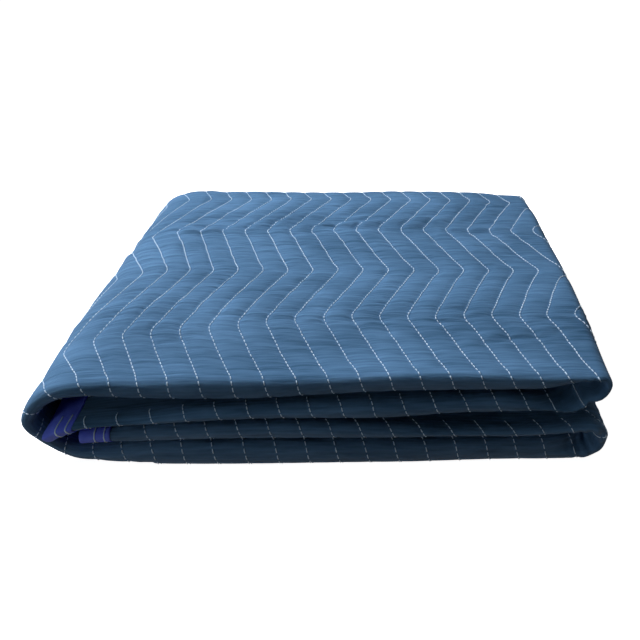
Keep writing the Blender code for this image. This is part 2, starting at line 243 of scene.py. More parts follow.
class PacketLine:
    """The middle of the packet of plies, from the inner free end round to the drooping one."""

    def __init__(self):
        upper, lower = side_fold(**UPPER_FOLD), side_fold(**LOWER_FOLD)
        stretches = {
            "inner_end": rounded(INNER_END),
            "over_lower_fold": rounded([*OVER_LOWER_FOLD, lower[0]]),
            "lower_fold": lower,
            "under_lower_fold": rounded([lower[-1], *UNDER_LOWER_FOLD]),
            "spine": rounded(SPINE),
            "over_upper_fold": rounded([*OVER_UPPER_FOLD, upper[0]]),
            "upper_fold": upper,
            "under_upper_fold": rounded([upper[-1], *UNDER_UPPER_FOLD]),
            "drooping_end": rounded(DROOPING_END),
        }
        points, starts = [], {}
        for name, stretch in stretches.items():
            starts[name] = (len(points), len(points) + len(stretch) - 1)
            points += stretch
        points = np.array(points)
        steps = np.hypot(*np.diff(points[:, :2], axis=0).T)
        lengths = np.concatenate([[0], np.cumsum(steps)])
        self.stretches = {name: (lengths[a], lengths[b]) for name, (a, b) in starts.items()}
        self.length = lengths[-1]
        keep = np.concatenate([[True], steps > 1e-9])
        points, lengths = points[keep], lengths[keep]
        before = points[0] - (points[1] - points[0]) * RUN_OUT / lengths[1]
        after = points[-1] + (points[-1] - points[-2]) * RUN_OUT / (lengths[-1] - lengths[-2])
        self.points = np.vstack([before, points, after])
        self.lengths = np.concatenate([[-RUN_OUT], lengths, [self.length + RUN_OUT]])

    def at(self, along):
        """x, height and share of the thickness there."""
        return [np.interp(along, self.lengths, self.points[:, i]) for i in range(3)]

    def frame(self, along, reach=1.5 * MM):
        """The point there, the unit vector (x, height) that leads outwards, and the share."""
        x, height, share = self.at(along)
        x0, height0, _ = self.at(along - reach)
        x1, height1, _ = self.at(along + reach)
        size = np.hypot(x1 - x0, height1 - height0)
        return x, height, -(height1 - height0) / size, (x1 - x0) / size, share


LINE = PacketLine()
SPINE_END, UPPER_START, UPPER_END = LINE.stretches["spine"][1], *LINE.stretches["upper_fold"]
ON_TOP = (LINE.stretches["spine"][0], UPPER_END)  # the stretch that shows from above and from the left

OUTER_TURN = 1.5 * PLY_PITCH
INNER_TURN = 0.5 * PLY_PITCH
FRONT_Y = -DEPTH / 2 + OUTER_TURN + PLY / 2
BACK_Y = DEPTH / 2 - INNER_TURN - PLY / 2
INNER_RUN = BACK_Y - FRONT_Y
TURNS = math.pi * (OUTER_TURN + 2 * INNER_TURN)
EDGE_RUN = (SHEET_WIDTH - TURNS - 2 * INNER_RUN) / 2
EDGE_Y = FRONT_Y + EDGE_RUN
PLY_STRETCHES = [
    EDGE_RUN,
    math.pi * OUTER_TURN,
    INNER_RUN,
    math.pi * INNER_TURN,
    INNER_RUN,
    math.pi * INNER_TURN,
    EDGE_RUN,
]
ROW_MARKS = np.concatenate([[0], np.cumsum(PLY_STRETCHES)])


def ply_fold(across, lift):
    """(y, height in the packet) of points of the flat sheet once it is folded front to back."""
    stretch = np.clip(np.searchsorted(ROW_MARKS, across, side="right") - 1, 0, 6)
    on = across - ROW_MARKS[stretch]
    outer, inner = OUTER_TURN + lift, INNER_TURN + lift
    core = INNER_TURN - lift
    wide, tight = on / OUTER_TURN, on / INNER_TURN
    places = [
        (EDGE_Y - on, -outer),
        (FRONT_Y - outer * np.sin(wide), -outer * np.cos(wide)),
        (FRONT_Y + on, outer),
        (BACK_Y + inner * np.sin(tight), 2 * INNER_TURN + inner * np.cos(tight)),
        (BACK_Y - on, core),
        (FRONT_Y - core * np.sin(tight), core * np.cos(tight)),
        (FRONT_Y + on, -core),
    ]
    y = np.choose(stretch, [p[0] for p in places])
    level = np.choose(stretch, [p[1] for p in places])
    return y, level


def front_shift(x, z, along):
    """How far up or down the packets have shifted at the front, from the table of their edges."""
    table = np.array(rounded(FRONT_LIE)) * MM
    packet = 2 * HALF_PACKET
    right = beyond(x, 150, 40)
    edges = [0, packet, packet + PACKET_GAP, 2 * packet + PACKET_GAP + C_RIGHT * right]
    edges += [edges[3] + MIDDLE_GAP + B_RIGHT * right, STACK - packet - PACKET_GAP, STACK - packet, STACK]
    shifts = [0, *(np.interp(x, table[:, 0], table[:, i]) for i in range(1, 8))]
    z = np.clip(z, 0, STACK)
    lower_turn, upper_turn = (sum(LINE.stretches[name]) / 2 for name in ("lower_fold", "upper_fold"))
    z = np.where(along < lower_turn, np.clip(z, edges[2], edges[3]), z)  # packet C
    z = np.where((along > lower_turn) & (along < ON_TOP[0]), np.minimum(z, edges[1]), z)  # D
    z = np.where((along > SPINE_END) & (along < upper_turn), np.maximum(z, edges[6]), z)  # A
    z = np.where(along > upper_turn, np.clip(z, edges[4], edges[5]), z)  # B
    found = np.zeros(x.shape)
    for low, high, a, b in zip(edges, edges[1:], shifts, shifts[1:]):
        found = np.where((z >= low) & (z <= high), a + (b - a) * (z - low) / (high - low), found)
    spine = (along > ON_TOP[0]) & (along < SPINE_END)
    share = np.clip((z - edges[1]) / (edges[6] - edges[1]), 0, 1)
    return np.where(spine & (z < edges[6]), shifts[1] + (shifts[6] - shifts[1]) * share, found)


def settled(x, y, z, along):
    """Where the plies' weight and the handling have left points of the evenly folded stack."""
    z = z + front_shift(x, z, along) * beyond(-y, 170, 60)
    up = z / STACK
    front = beyond(-y, 120, 120)
    back = beyond(y, 130, 110)
    # The back edge sags most a little left of the middle, and least well to the right of it
    dip = 0.25 + 0.5 * bell(x + 30 * MM, 70 * MM) - 0.25 * bell(x - 100 * MM, 80 * MM)
    height = CROWN
    height = height - (CROWN - FRONT_HEIGHT) * front
    height = height - (CROWN - BACK_HEIGHT) * back
    height = height - BACK_DROOP * dip * beyond(y, 205, 50)
    height = height - CORNER_DROOP * back * beyond(x, 165, 55)
    height = height + SPINE_LIFT * back * beyond(-x, 150, 50)
    height = height + ROLL * np.sin(x / (62 * MM) + 0.6) * np.sin(y / (75 * MM) + 0.4)
    sway = FRONT_SWAY * np.sin(2.6 * math.pi * up + 0.4) + SIDE_SWAY * np.sin(x / (58 * MM) + 3 * up)
    y = y + sway * MM * front + BACK_SWAY * np.sin(x / (66 * MM) + 2 * up) * back
    upper_half, lower_half = ease(2.4 * up - 1.25), ease(1.6 - 3 * up)
    x = x - RIGHT_DRAW * (beyond(x, 150, 60) * beyond(-y, 20, 100)) * (1 - RIGHT_SHOULDER * upper_half)
    x = x - SPINE_BULGE * beyond(-x, 200, 30) * front
    x = x - LEFT_SHOULDER * upper_half * beyond(-x, 170, 50)
    y = y + FRONT_DRAW * front * beyond(x, 60, 120) * lower_half
    x = x + SKEW * y
    return np.stack([x - MIDDLE_X, y - MIDDLE_Y, np.maximum(z * height, 0)], axis=-1)


def folded(along, across, lift):
    """Where points of the flat sheet lie once the blanket is folded both ways and has settled."""
    y, level = ply_fold(across, lift)
    x, height, out_x, out_z, share = LINE.frame(along)
    near_front = beyond(-y, 150, 90)
    inside = ease(0.5 - level / HALF_PACKET)
    bulge = np.clip(1 - np.abs(level) / HALF_PACKET, 0, 1)
    for name, after in POCKETS.items():
        from_fold = along - sum(LINE.stretches[name]) / 2
        y = y + POCKET * near_front * inside * bell(from_fold - after, POCKET_WIDTH)
        uneven = noise_at(from_fold / (20 * MM), level / (6 * MM), 2)
        pleats = np.sin(2 * math.pi * from_fold / PLEAT + 2.5 * uneven)
        y = y + PLEAT_DEPTH * pleats * near_front * bulge**0.6 * bell(from_fold - after / 2, PLEATS_WIDTH)
    from_end = along - LINE.length
    y = y - LOBE * near_front * beyond(from_end, -50, 45)
    y = y - FORWARD * near_front * beyond(from_end, -190, 110)
    drooping = near_front * beyond(from_end, -110, 70)
    squeeze = np.where(level < 0, SQUEEZE, SQUEEZE_BELOW * SQUEEZE)
    level = level * share * (1 - drooping * squeeze)
    height = height - DROP * drooping
    x = x - REACH * drooping
    past_upper_fold = along - sum(LINE.stretches["upper_fold"]) / 2
    x = x - TUCK * near_front * beyond(past_upper_fold, 0, 14) * beyond(-past_upper_fold, -90, 75)
    return settled(x + level * out_x, y, height + level * out_z, along)


def behind_front(across):
    """How far behind the front of the stack a place of the top ply lies."""
    return across - ROW_MARKS[2] + FRONT_Y + DEPTH / 2


TURN_BENDS = (-0.05, -0.025, 0, 0.025, 0.05)  # half swings that the turns of a row are rounded over


def zigzag(along, across):
    """How far aside a row of quilting lies there: back at the turn nearest the front, on at the next."""
    behind = behind_front(across)
    rise = TURN_RISE * beyond(along - SPINE_END, -20, 250) - LEFT_TURN
    turns = (behind - FRONT_TURN - rise * beyond(-behind, -240, 160)) / ZIGZAG_HALF
    swing = sum(2 * np.abs((turns + 1 + part) % 2 - 1) - 1 for part in TURN_BENDS) / len(TURN_BENDS)
    shifts = np.array(rounded(ROW_SHIFTS))
    drift = np.interp(behind, shifts[:, 0], shifts[:, 1])
    from_middle = np.clip(along - (SPINE_END + UPPER_START) / 2, -220 * MM, 200 * MM)
    drift = drift + CONVERGE * from_middle * beyond(-behind, -95, 95)
    drift = drift - LEFT_SHIFT * beyond(SPINE_END - along, -70, 140) * beyond(-behind, -336, 140)
    return ZIGZAG_SIDE * swing - drift + layered_noise(along, across, ROW_WAVERS) * MM


def half_thickness(along, across):
    """Half the sheet's thickness between the quilting: squeezed at the edges, under the tape."""
    edge = np.minimum(np.minimum(along, LINE.length - along), np.minimum(across, SHEET_WIDTH - across))
    swell = ease((edge - TAPE_WIDTH) / (PADDED_FROM - TAPE_WIDTH))
    return (HEM_PLY + (PLY - HEM_PLY) * swell) / 2


def quilting_share(place, across):
    """How far the quilting is raised there, from 0 to 1: on the outer ply, its bight and its back fold."""
    edge = np.minimum(place, LINE.length - place)
    share = ease((edge - TAPE_WIDTH) / (PADDED_FROM - TAPE_WIDTH))
    share = share * beyond(across - ROW_MARKS[1], -14, 14)
    return share * beyond(ROW_MARKS[4] - across, -8, 14)


CREASE_WAVER = 2.2 * MM
CREASES = [  # mm, on top: from the left and the front, where it starts and ends; how far up; half its width
    (300, 56, 384, 72, -2.4, 2.4),
    (296, 64, 380, 80, 1.0, 4.5),
    (26, 56, 78, 70, -1.1, 2.4),
    (318, 447, 392, 424, 1.6, 3.2),
    (322, 438, 388, 416, -1.0, 3.2),
    (-60, 336, 190, 333, 0.9, 3.4),
    (170, 331, 400, 337, 1.1, 3.6),
    (190, 322, 330, 326, -0.8, 3.4),
    (120, 98, 390, 104, 0.6, 3.4),
    (-40, 392, 96, 398, 0.8, 3.6),
    (30, 371, 150, 364, -0.7, 3.6),
    (200, 402, 330, 395, 0.7, 3.8),
    (20, 214, 130, 219, 0.6, 3.4),
    (210, 172, 330, 166, -0.6, 3.6),
]


def creased(along, across):
    """The soft creases that handling has left in the top ply."""
    left, behind = along - SPINE_END, behind_front(across)
    lift = np.zeros(np.shape(along))
    for crease in CREASES:
        x0, y0, x1, y1, up, width = (value * MM for value in crease)
        size = math.hypot(x1 - x0, y1 - y0)
        share = ((left - x0) * (x1 - x0) + (behind - y0) * (y1 - y0)) / size**2
        off = ((behind - y0) * (x1 - x0) - (left - x0) * (y1 - y0)) / size
        off = off + CREASE_WAVER * noise_at(left / (26 * MM), y0 / MM)
        ends = ease(share / 0.25 + 0.3) * ease((1 - share) / 0.25 + 0.3)
        lift = lift + up * ends * bell(off, width)
    return lift


def outer_lift(place, along, across):
    """The height of the outer cloth face off the sheet's middle, where place is that before the zigzag."""
    channel = np.abs(2 * (((place - FIRST_STITCH) / STITCH_PITCH) % 1) - 1)
    shows = beyond(place - ON_TOP[0], 0, 20) * beyond(ON_TOP[1] - place, 0, 20)
    shows = np.maximum(shows, beyond(ROW_MARKS[2] - across, -6, 8))
    shows = np.maximum(shows, beyond(across - ROW_MARKS[3], -2, 8))
    pulled = 1 - TAUT_FRONT * beyond(ROW_MARKS[2] - across, -12, 12)
    pulled = pulled - TAUT_BACK * beyond(across - ROW_MARKS[3], -16, 16)
    uneven = 1 + layered_noise(along, across, UNEVEN_PUFF)
    behind = behind_front(across)
    gathered = EVEN_RIPPLES
    for spot, width, more in GATHERS:
        gathered = gathered + more * bell(behind - spot * MM, width * MM)
    ripples = layered_noise(along, across, RIPPLES)
    ripples = ripples * (FRONT_RIPPLES + (gathered - FRONT_RIPPLES) * beyond(behind, 60, 40))
    relief = (-GROOVE + (GROOVE + PUFF * shows * uneven) * (1 - channel**FULLNESS)) * pulled
    relief = relief + ripples * MM * shows * (1 - 0.6 * channel**4)
    pressed = (place > LINE.stretches["lower_fold"][1]) & (place < ON_TOP[0])
    relief = relief * (1 - FLOOR_PRESS * pressed)
    relief = relief + creased(along, across) * (1 - 0.5 * channel**4)
    return half_thickness(along, across) + relief * quilting_share(place, across)


CHANNEL_STEPS = 16  # where the columns of the mesh may lie: every sixteenth of a channel
SPARSE_STEPS = (2, 8, 14)  # those that are kept beside the coarse ones under the stack's quilting
FOLD_MARGIN = 12 * MM  # how far the finer mesh reaches past the folds
BIGHT_MARGIN = 18 * MM
FINE_ROW = 3.8 * MM
HIDDEN_ROW = 4  # the cloth's hidden face keeps every fourth row
HIDDEN_LINES = [*range(16, 129, 16), 150, *range(175, 386, 35), 415, 440, 458, 467]  # mm behind the front
OUTER_TURN_STEPS = 16
BACK_TURN_STEPS = 8
INNER_TURN_STEPS = 6


def near(along, names, margin):
    """Whether the places lie in these stretches of the line, or within the margin of them."""
    found = np.zeros(along.shape, bool)
    for name in names:
        low, high = LINE.stretches[name]
        found |= (along > low - margin) & (along < high + margin)
    return found


def kept_columns(columns, steps, every):
    """Which columns are kept where no quilting shows: so many steps apart, and closer where it bends."""
    bends = near(columns, LINE.stretches, 20 * MM) & (steps % 4 == 0)
    side_folds = near(columns, ("lower_fold", "upper_fold"), FOLD_MARGIN) & (steps % 2 == 0)
    return (steps % every == 0) | bends | side_folds


def sheet_columns():
    """Places of the mesh's columns along the sheet, and each one's step within its channel."""
    low, high = TAPE_WIDTH - FIRST_STITCH, LINE.length - TAPE_WIDTH - FIRST_STITCH
    step = STITCH_PITCH / CHANNEL_STEPS
    steps = np.arange(math.ceil(low / step), math.floor(high / step) + 1)
    places = FIRST_STITCH + steps * step
    wanted = (steps % 2 == 0) | near(places, ("lower_fold", "upper_fold"), 8 * MM)
    places, steps = places[wanted], steps[wanted]
    places = np.concatenate([[0, TAPE_WIDTH / 2], places, [LINE.length - TAPE_WIDTH / 2, LINE.length]])
    return places, np.concatenate([[0, 0], steps, [0, 0]]) % CHANNEL_STEPS


def sheet_rows():
    """Places of the mesh's rows across the sheet, and whether the hidden side keeps each."""
    front = np.array(HIDDEN_LINES) * MM - (FRONT_Y + DEPTH / 2)
    back = [EDGE_RUN - TAPE_WIDTH, EDGE_RUN - TAPE_WIDTH / 2]
    turns = [FRONT_TURN + i * ZIGZAG_HALF - (FRONT_Y + DEPTH / 2) for i in range(TOP_TURNS)]
    marks = [0, *turns, back[0], back[1], INNER_RUN]
    rows = [0, TAPE_WIDTH / 2, TAPE_WIDTH, *(EDGE_RUN - front[::-1])]
    rows += list(np.linspace(ROW_MARKS[1], ROW_MARKS[2], OUTER_TURN_STEPS, endpoint=False))
    kept = [True] * (len(rows) - OUTER_TURN_STEPS) + [i % 2 == 0 for i in range(OUTER_TURN_STEPS)]
    for low, high in zip(marks, marks[1:]):
        count = max(round((high - low) / FINE_ROW), 1)
        rows += list(ROW_MARKS[2] + np.linspace(low, high, count, endpoint=False))
        kept += [i % HIDDEN_ROW == 0 for i in range(count)]
    rows += list(np.linspace(ROW_MARKS[3], ROW_MARKS[4], BACK_TURN_STEPS + 1))
    rows += [*(ROW_MARKS[5] - np.array(back[::-1])), *(ROW_MARKS[5] - front[::-1])]
    rows += list(np.linspace(ROW_MARKS[5], ROW_MARKS[6], INNER_TURN_STEPS + 1))
    rows += [*(ROW_MARKS[6] + front), SHEET_WIDTH - TAPE_WIDTH, SHEET_WIDTH - TAPE_WIDTH / 2, SHEET_WIDTH]
    kept += [True] * (len(rows) - len(kept))
    return np.array(rows), np.array(kept)


def padded_grid(name, columns, rows):
    """A flat sheet with so many columns and rows, and a second face below it."""
    bpy.ops.object.select_all(action="DESELECT")
    bpy.ops.mesh.primitive_grid_add(x_subdivisions=columns - 1, y_subdivisions=rows - 1, size=2)
    sheet = bpy.context.object
    sheet.name = name
    padding = sheet.modifiers.new("padding", "SOLIDIFY")
    padding.thickness = 0.2
    padding.offset = 0
    bpy.ops.object.modifier_apply(modifier="padding")
    return sheet


def places_in(sheet, columns, rows):
    """The column, the row and whether it is on the outer face, of every point of a padded grid."""
    flat = np.empty(len(sheet.data.vertices) * 3)
    sheet.data.vertices.foreach_get("co", flat)
    flat = flat.reshape(-1, 3)
    column = np.rint((flat[:, 0] + 1) / 2 * (columns - 1)).astype(int)
    row = np.rint((flat[:, 1] + 1) / 2 * (rows - 1)).astype(int)
    return column, row, flat[:, 2] > 0


def lay_out(sheet, along, across):
    """Gives a sheet its flat pattern, in metres, as the map that its weave follows."""
    corners = np.empty(len(sheet.data.loops), int)
    sheet.data.loops.foreach_get("vertex_index", corners)
    flat = np.stack([along[corners], across[corners]], axis=-1)
    sheet.data.uv_layers[0].name = "flat_pattern"
    sheet.data.uv_layers[0].data.foreach_set("uv", flat.ravel())


def quilted_sheet():
    """The flat grid, thickened, thinned out where no one sees it, and folded."""
    columns, steps = sheet_columns()
    rows, row_kept = sheet_rows()
    sheet = padded_grid("quilted_cloth", len(columns), len(rows))
    column, row, outer = places_in(sheet, len(columns), len(rows))

    coarse = kept_columns(columns, steps, CHANNEL_STEPS)
    sparse = coarse | np.isin(steps, SPARSE_STEPS)
    on_top = (columns > ON_TOP[0] - FOLD_MARGIN) & (columns < ON_TOP[1] + FOLD_MARGIN)
    bight = (rows > ROW_MARKS[1] - BIGHT_MARGIN) & (rows < ROW_MARKS[2] + BIGHT_MARGIN / 2)
    quilted = (rows > ROW_MARKS[1] - BIGHT_MARGIN) & (rows < ROW_MARKS[4] + FOLD_MARGIN)

    edges = np.empty(len(sheet.data.edges) * 2, int)
    sheet.data.edges.foreach_get("vertices", edges)
    a, b = edges.reshape(-1, 2).T
    same_face, same_column, same_row = outer[a] == outer[b], column[a] == column[b], row[a] == row[b]
    shows = outer[a] & quilted[row[a]] & quilted[row[b]]
    fine = shows & (on_top[column[a]] | (bight[row[a]] & bight[row[b]]))
    keeps_column = np.where(fine, True, np.where(shows, sparse[column[a]], coarse[column[a]]))
    keeps_row = row_kept[row[a]] | (outer[a] & ((on_top[column[a]] & on_top[column[b]]) | bight[row[a]]))
    hidden = same_face & ((same_column & ~keeps_column) | (same_row & ~keeps_row))
    bpy.context.tool_settings.mesh_select_mode = (False, True, False)
    bpy.ops.object.mode_set(mode="EDIT")
    bpy.ops.mesh.select_all(action="DESELECT")
    bpy.ops.object.mode_set(mode="OBJECT")
    sheet.data.edges.foreach_set("select", hidden)
    bpy.ops.object.mode_set(mode="EDIT")
    bpy.ops.mesh.dissolve_edges(use_verts=True)
    bpy.ops.object.mode_set(mode="OBJECT")

    column, row, outer = places_in(sheet, len(columns), len(rows))
    place, across = columns[column], rows[row]
    # On the outer ply the columns follow the zigzag, so that each stays on one place of its channel
    sheared = beyond(across - ROW_MARKS[1], -80, 62) * beyond(ROW_MARKS[4] - across, -80, 62)
    sheared = sheared * ease(np.minimum(place, LINE.length - place) / (TAPE_WIDTH * 0.6) - 0.8)
    along = place + zigzag(place, across) * sheared
    lift = np.where(outer, outer_lift(place, along, across), half_thickness(along, across))
    places = folded(along, across, np.where(outer, lift, -lift))
    lay_out(sheet, along, across)
    sheet.data.vertices.foreach_set("co", places.ravel())
    sheet.data.update()
    bpy.ops.object.shade_smooth()
    return sheet


quilted_cloth = quilted_sheet()


def linear(hex_colour):
    """An sRGB hex value as linear red, green, blue and alpha."""
    parts = [int(hex_colour[i : i + 2], 16) / 255 for i in (1, 3, 5)]
    return (*((p / 12.92 if p <= 0.04045 else ((p + 0.055) / 1.055) ** 2.4) for p in parts), 1.0)


def add_node(tree, kind, links=(), **settings):
    """Adds a node; links are (input, output socket), and a setting in capitals is an input's value."""
    node = tree.nodes.new(kind)
    for name, value in settings.items():
        if name[0].isupper():
            node.inputs[name.replace("_", " ")].default_value = value
        else:
            setattr(node, name, value)
    for name, socket in links:
        tree.links.new(socket, node.inputs[name])
    return node


def woven_cotton_polyester():
    """Plain-woven cotton and polyester, dyed blue: matt, a little fuzzy, with slubs in its weft.

    The slubs run along the sheet and catch the light as fine streaks, 33 mm long and 2 mm wide. The cloth
    has puckered in long shallow wrinkles, 60 mm long and 6 mm wide, which are fainter at the front edge,
    where it is pulled over the bight. Its tone is painted darker in the wrinkles' troughs and lighter on
    their ridges, as painted shade and light. The yarns lie about 0.5 mm apart.
    """
    material = bpy.data.materials.new("woven_cotton_polyester")
    material.use_nodes = True
    tree = material.node_tree
    shader = tree.nodes["Principled BSDF"]
    shader.inputs["Roughness"].default_value = 0.92
    shader.inputs["Specular IOR Level"].default_value = 0.25
    shader.inputs["Sheen Weight"].default_value = 0.08
    shader.inputs["Sheen Roughness"].default_value = 0.45
    shader.inputs["Sheen Tint"].default_value = linear("#9DB9D8")
    pattern = add_node(tree, "ShaderNodeUVMap", uv_map="flat_pattern").outputs["UV"]

    stretched = add_node(tree, "ShaderNodeMapping", [("Vector", pattern)], Scale=(30, 430, 1))
    slubs = add_node(tree, "ShaderNodeTexNoise", [("Vector", stretched.outputs[0])], Scale=1.0, Detail=3.0)
    longer = add_node(tree, "ShaderNodeMapping", [("Vector", pattern)], Scale=(17, 160, 1))
    wrinkles = add_node(tree, "ShaderNodeTexNoise", [("Vector", longer.outputs[0])], Scale=1.0, Detail=4.0)
    wrinkles.inputs["Distortion"].default_value = 0.5
    patches = add_node(tree, "ShaderNodeTexNoise", [("Vector", pattern)], Scale=11.0, Detail=3.0)

    # The wrinkles' share of the tone is painted: shade in their troughs and light on their ridges
    both = add_node(tree, "ShaderNodeMath", [(0, slubs.outputs["Fac"]), (1, wrinkles.outputs["Fac"])])
    all_three = add_node(tree, "ShaderNodeMath", [(0, both.outputs[0]), (1, patches.outputs["Fac"])])
    spread = [("Value", all_three.outputs[0])]
    share = add_node(tree, "ShaderNodeMapRange", spread, From_Min=1.1, From_Max=1.9)
    tone = add_node(tree, "ShaderNodeMix", [("Factor", share.outputs["Result"])], data_type="RGBA")
    tone.inputs["A"].default_value = linear("#31597D")
    tone.inputs["B"].default_value = linear("#5B87B3")
    tree.links.new(tone.outputs["Result"], shader.inputs["Base Color"])

    # One wave is 0.39 of a unit long at this scale, and a unit is 1.3 mm
    turned = add_node(tree, "ShaderNodeMapping", [("Vector", pattern)], Scale=(770, 770, 1))
    warp = add_node(tree, "ShaderNodeTexWave", [("Vector", turned.outputs[0])], Scale=0.8, Distortion=1.0)
    weft = add_node(tree, "ShaderNodeTexWave", [("Vector", turned.outputs[0])], Scale=0.8, Distortion=1.0)
    weft.bands_direction = "Y"
    weave = add_node(tree, "ShaderNodeMath", [(0, warp.outputs["Fac"]), (1, weft.outputs["Fac"])])
    fine = add_node(tree, "ShaderNodeBump", [("Height", weave.outputs[0])], Strength=0.5, Distance=0.0003)
    over_fine = [("Height", slubs.outputs["Fac"]), ("Normal", fine.outputs[0])]
    streaks = add_node(tree, "ShaderNodeBump", over_fine, Strength=0.68, Distance=0.0009)
    apart = add_node(tree, "ShaderNodeSeparateXYZ", [(0, pattern)])
    # Faint up to 48 mm behind the front bight, which is 0.565 m across the sheet, and full 40 mm further on
    calm = {"From_Min": 0.565, "From_Max": 0.605, "To_Min": 0.15, "To_Max": 0.75}
    pull = add_node(tree, "ShaderNodeMapRange", [("Value", apart.outputs["Y"])], **calm)
    over_streaks = [("Height", wrinkles.outputs["Fac"]), ("Normal", streaks.outputs[0])]
    over_streaks += [("Strength", pull.outputs["Result"])]
    puckers = add_node(tree, "ShaderNodeBump", over_streaks, Distance=0.003)
    tree.links.new(puckers.outputs[0], shader.inputs["Normal"])
    return material


quilted_cloth.data.materials.clear()
quilted_cloth.data.materials.append(woven_cotton_polyester())
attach(quilted_cloth, "root")
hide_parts("blanket")


# ---------------------------------------------------------------------------------------------------------
# The quilting thread
# White polyester, lock-stitched through the faces and the wadding along every zigzag row. Each stitch is
# about 5 mm long and dips into its needle holes: a stitch's shape is (share of its length, lift).
# ---------------------------------------------------------------------------------------------------------
STITCH = 4.8 * MM
THREAD_RADIUS = 0.44 * MM
STITCH_SHAPE = [(0.0, -1.3 * MM), (0.2, -0.3 * MM), (0.36, 0.35 * MM), (0.64, 0.35 * MM), (0.8, -0.3 * MM)]


def stitches(low, high, lowest=-math.inf):
    """Stitch after stitch from low to high across the sheet: the places of its points and their lifts."""
    count = round((high - low) / STITCH)
    starts = low + STITCH * np.arange(count)[:, None]
    across = (starts + STITCH * np.array([share for share, _ in STITCH_SHAPE])).ravel()
    return across, np.tile([max(lift, lowest) for _, lift in STITCH_SHAPE], count)


def sewn_row(place, low, high):
    """Points of one row's thread, from low to high across the sheet."""
    across, rise = stitches(low, high)
    column = np.full(across.shape, place)
    along = column + zigzag(column, across)
    return folded(along, across, outer_lift(column, along, across) + rise)


def thread_piece(name, rows, radius=THREAD_RADIUS):
    """A mesh of round threads along the rows of points."""
    curve = bpy.data.curves.new(name, "CURVE")
    curve.dimensions = "3D"
    curve.bevel_depth = radius
    curve.bevel_resolution = 1
    curve.use_fill_caps = True
    for row in rows:
        spline = curve.splines.new("POLY")
        spline.points.add(len(row) - 1)
        spline.points.foreach_set("co", np.hstack([row, np.ones((len(row), 1))]).ravel())
    thread = bpy.data.objects.new(name, curve)
    bpy.context.scene.collection.objects.link(thread)
    bpy.ops.object.select_all(action="DESELECT")
    thread.select_set(True)
    bpy.context.view_layer.objects.active = thread
    bpy.ops.object.convert(target="MESH")
    bpy.ops.object.shade_smooth()
    return thread


def white_polyester_thread():
    """Twisted polyester thread, white with the cloth's blue showing through: a soft gloss on its plies."""
    material = bpy.data.materials.new("white_polyester_thread")
    material.use_nodes = True
    tree = material.node_tree
    shader = tree.nodes["Principled BSDF"]
    shader.inputs["Roughness"].default_value = 0.55
    place = add_node(tree, "ShaderNodeTexCoord").outputs["Object"]
    dust = add_node(tree, "ShaderNodeTexNoise", [("Vector", place)], Scale=160.0, Detail=2.0)
    tone = add_node(tree, "ShaderNodeMix", [("Factor", dust.outputs["Fac"])], data_type="RGBA")
    tone.inputs["A"].default_value = linear("#B4D4F4")
    tone.inputs["B"].default_value = linear("#E0F0FF")
    tree.links.new(tone.outputs["Result"], shader.inputs["Base Color"])
    twist = add_node(tree, "ShaderNodeTexNoise", [("Vector", place)], Scale=1500.0, Detail=1.0)
    bump = add_node(tree, "ShaderNodeBump", [("Height", twist.outputs["Fac"])], Strength=0.4, Distance=0.0002)
    tree.links.new(bump.outputs[0], shader.inputs["Normal"])
    return material


stitch_rows = FIRST_STITCH + STITCH_PITCH * np.arange(1, math.floor(LINE.length / STITCH_PITCH) - 1)
on_top = [p for p in stitch_rows if ON_TOP[0] - 5 * MM < p < UPPER_END + 8 * MM]
tucked = [p for p in stitch_rows if p not in on_top]
beneath = [p for p in tucked if LINE.stretches["lower_fold"][0] < p < ON_TOP[0]]
inside = [p for p in tucked if p not in beneath]
outer_ply = (ROW_MARKS[1] - 8 * MM, ROW_MARKS[4] + 2 * MM)  # with its bight and its back fold
bight_only = (ROW_MARKS[1] - 8 * MM, ROW_MARKS[2] + 10 * MM)
back_only = (ROW_MARKS[3] - 10 * MM, ROW_MARKS[4] + 2 * MM)
top_thread = thread_piece("top_thread", [sewn_row(place, *outer_ply) for place in on_top])
fold_thread = thread_piece(
    "fold_thread",
    [sewn_row(place, *bight_only) for place in inside]
    + [sewn_row(place, *back_only) for place in inside]
    + [sewn_row(place, *outer_ply) for place in beneath],
)
thread_finish = white_polyester_thread()
for thread in (top_thread, fold_thread):
    thread.data.materials.append(thread_finish)
    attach(thread, "root")


# ---------------------------------------------------------------------------------------------------------
# The binding tapes
# Woven polyester tape, folded over the sheet's raw edges and sewn down through everything with two rows of
# stitches. One tape runs along each edge, and the tapes of the two ends cover those of the sides.
# ---------------------------------------------------------------------------------------------------------
TAPE = 0.65 * MM  # its thickness
TAPE_GAP = 0.4 * MM  # between it and the cloth that it clasps
TAPE_SEAMS = (12.3 * MM, 20.1 * MM)  # from the folded edge
SEAM_DENT = 0.3 * MM  # how deep a seam pulls the tape in
SEAM_WIDTH = 0.9 * MM  # half of the dent's
END_OVERLAP = TAPE_WIDTH - MM + TAPE_GAP
LEG = [25.0, 23.4, 21.6, 20.1, 18.6, 16.2, 13.8, 12.3, 10.8, 8.0, 5.0, 2.0, 0.2]  # mm from the edge


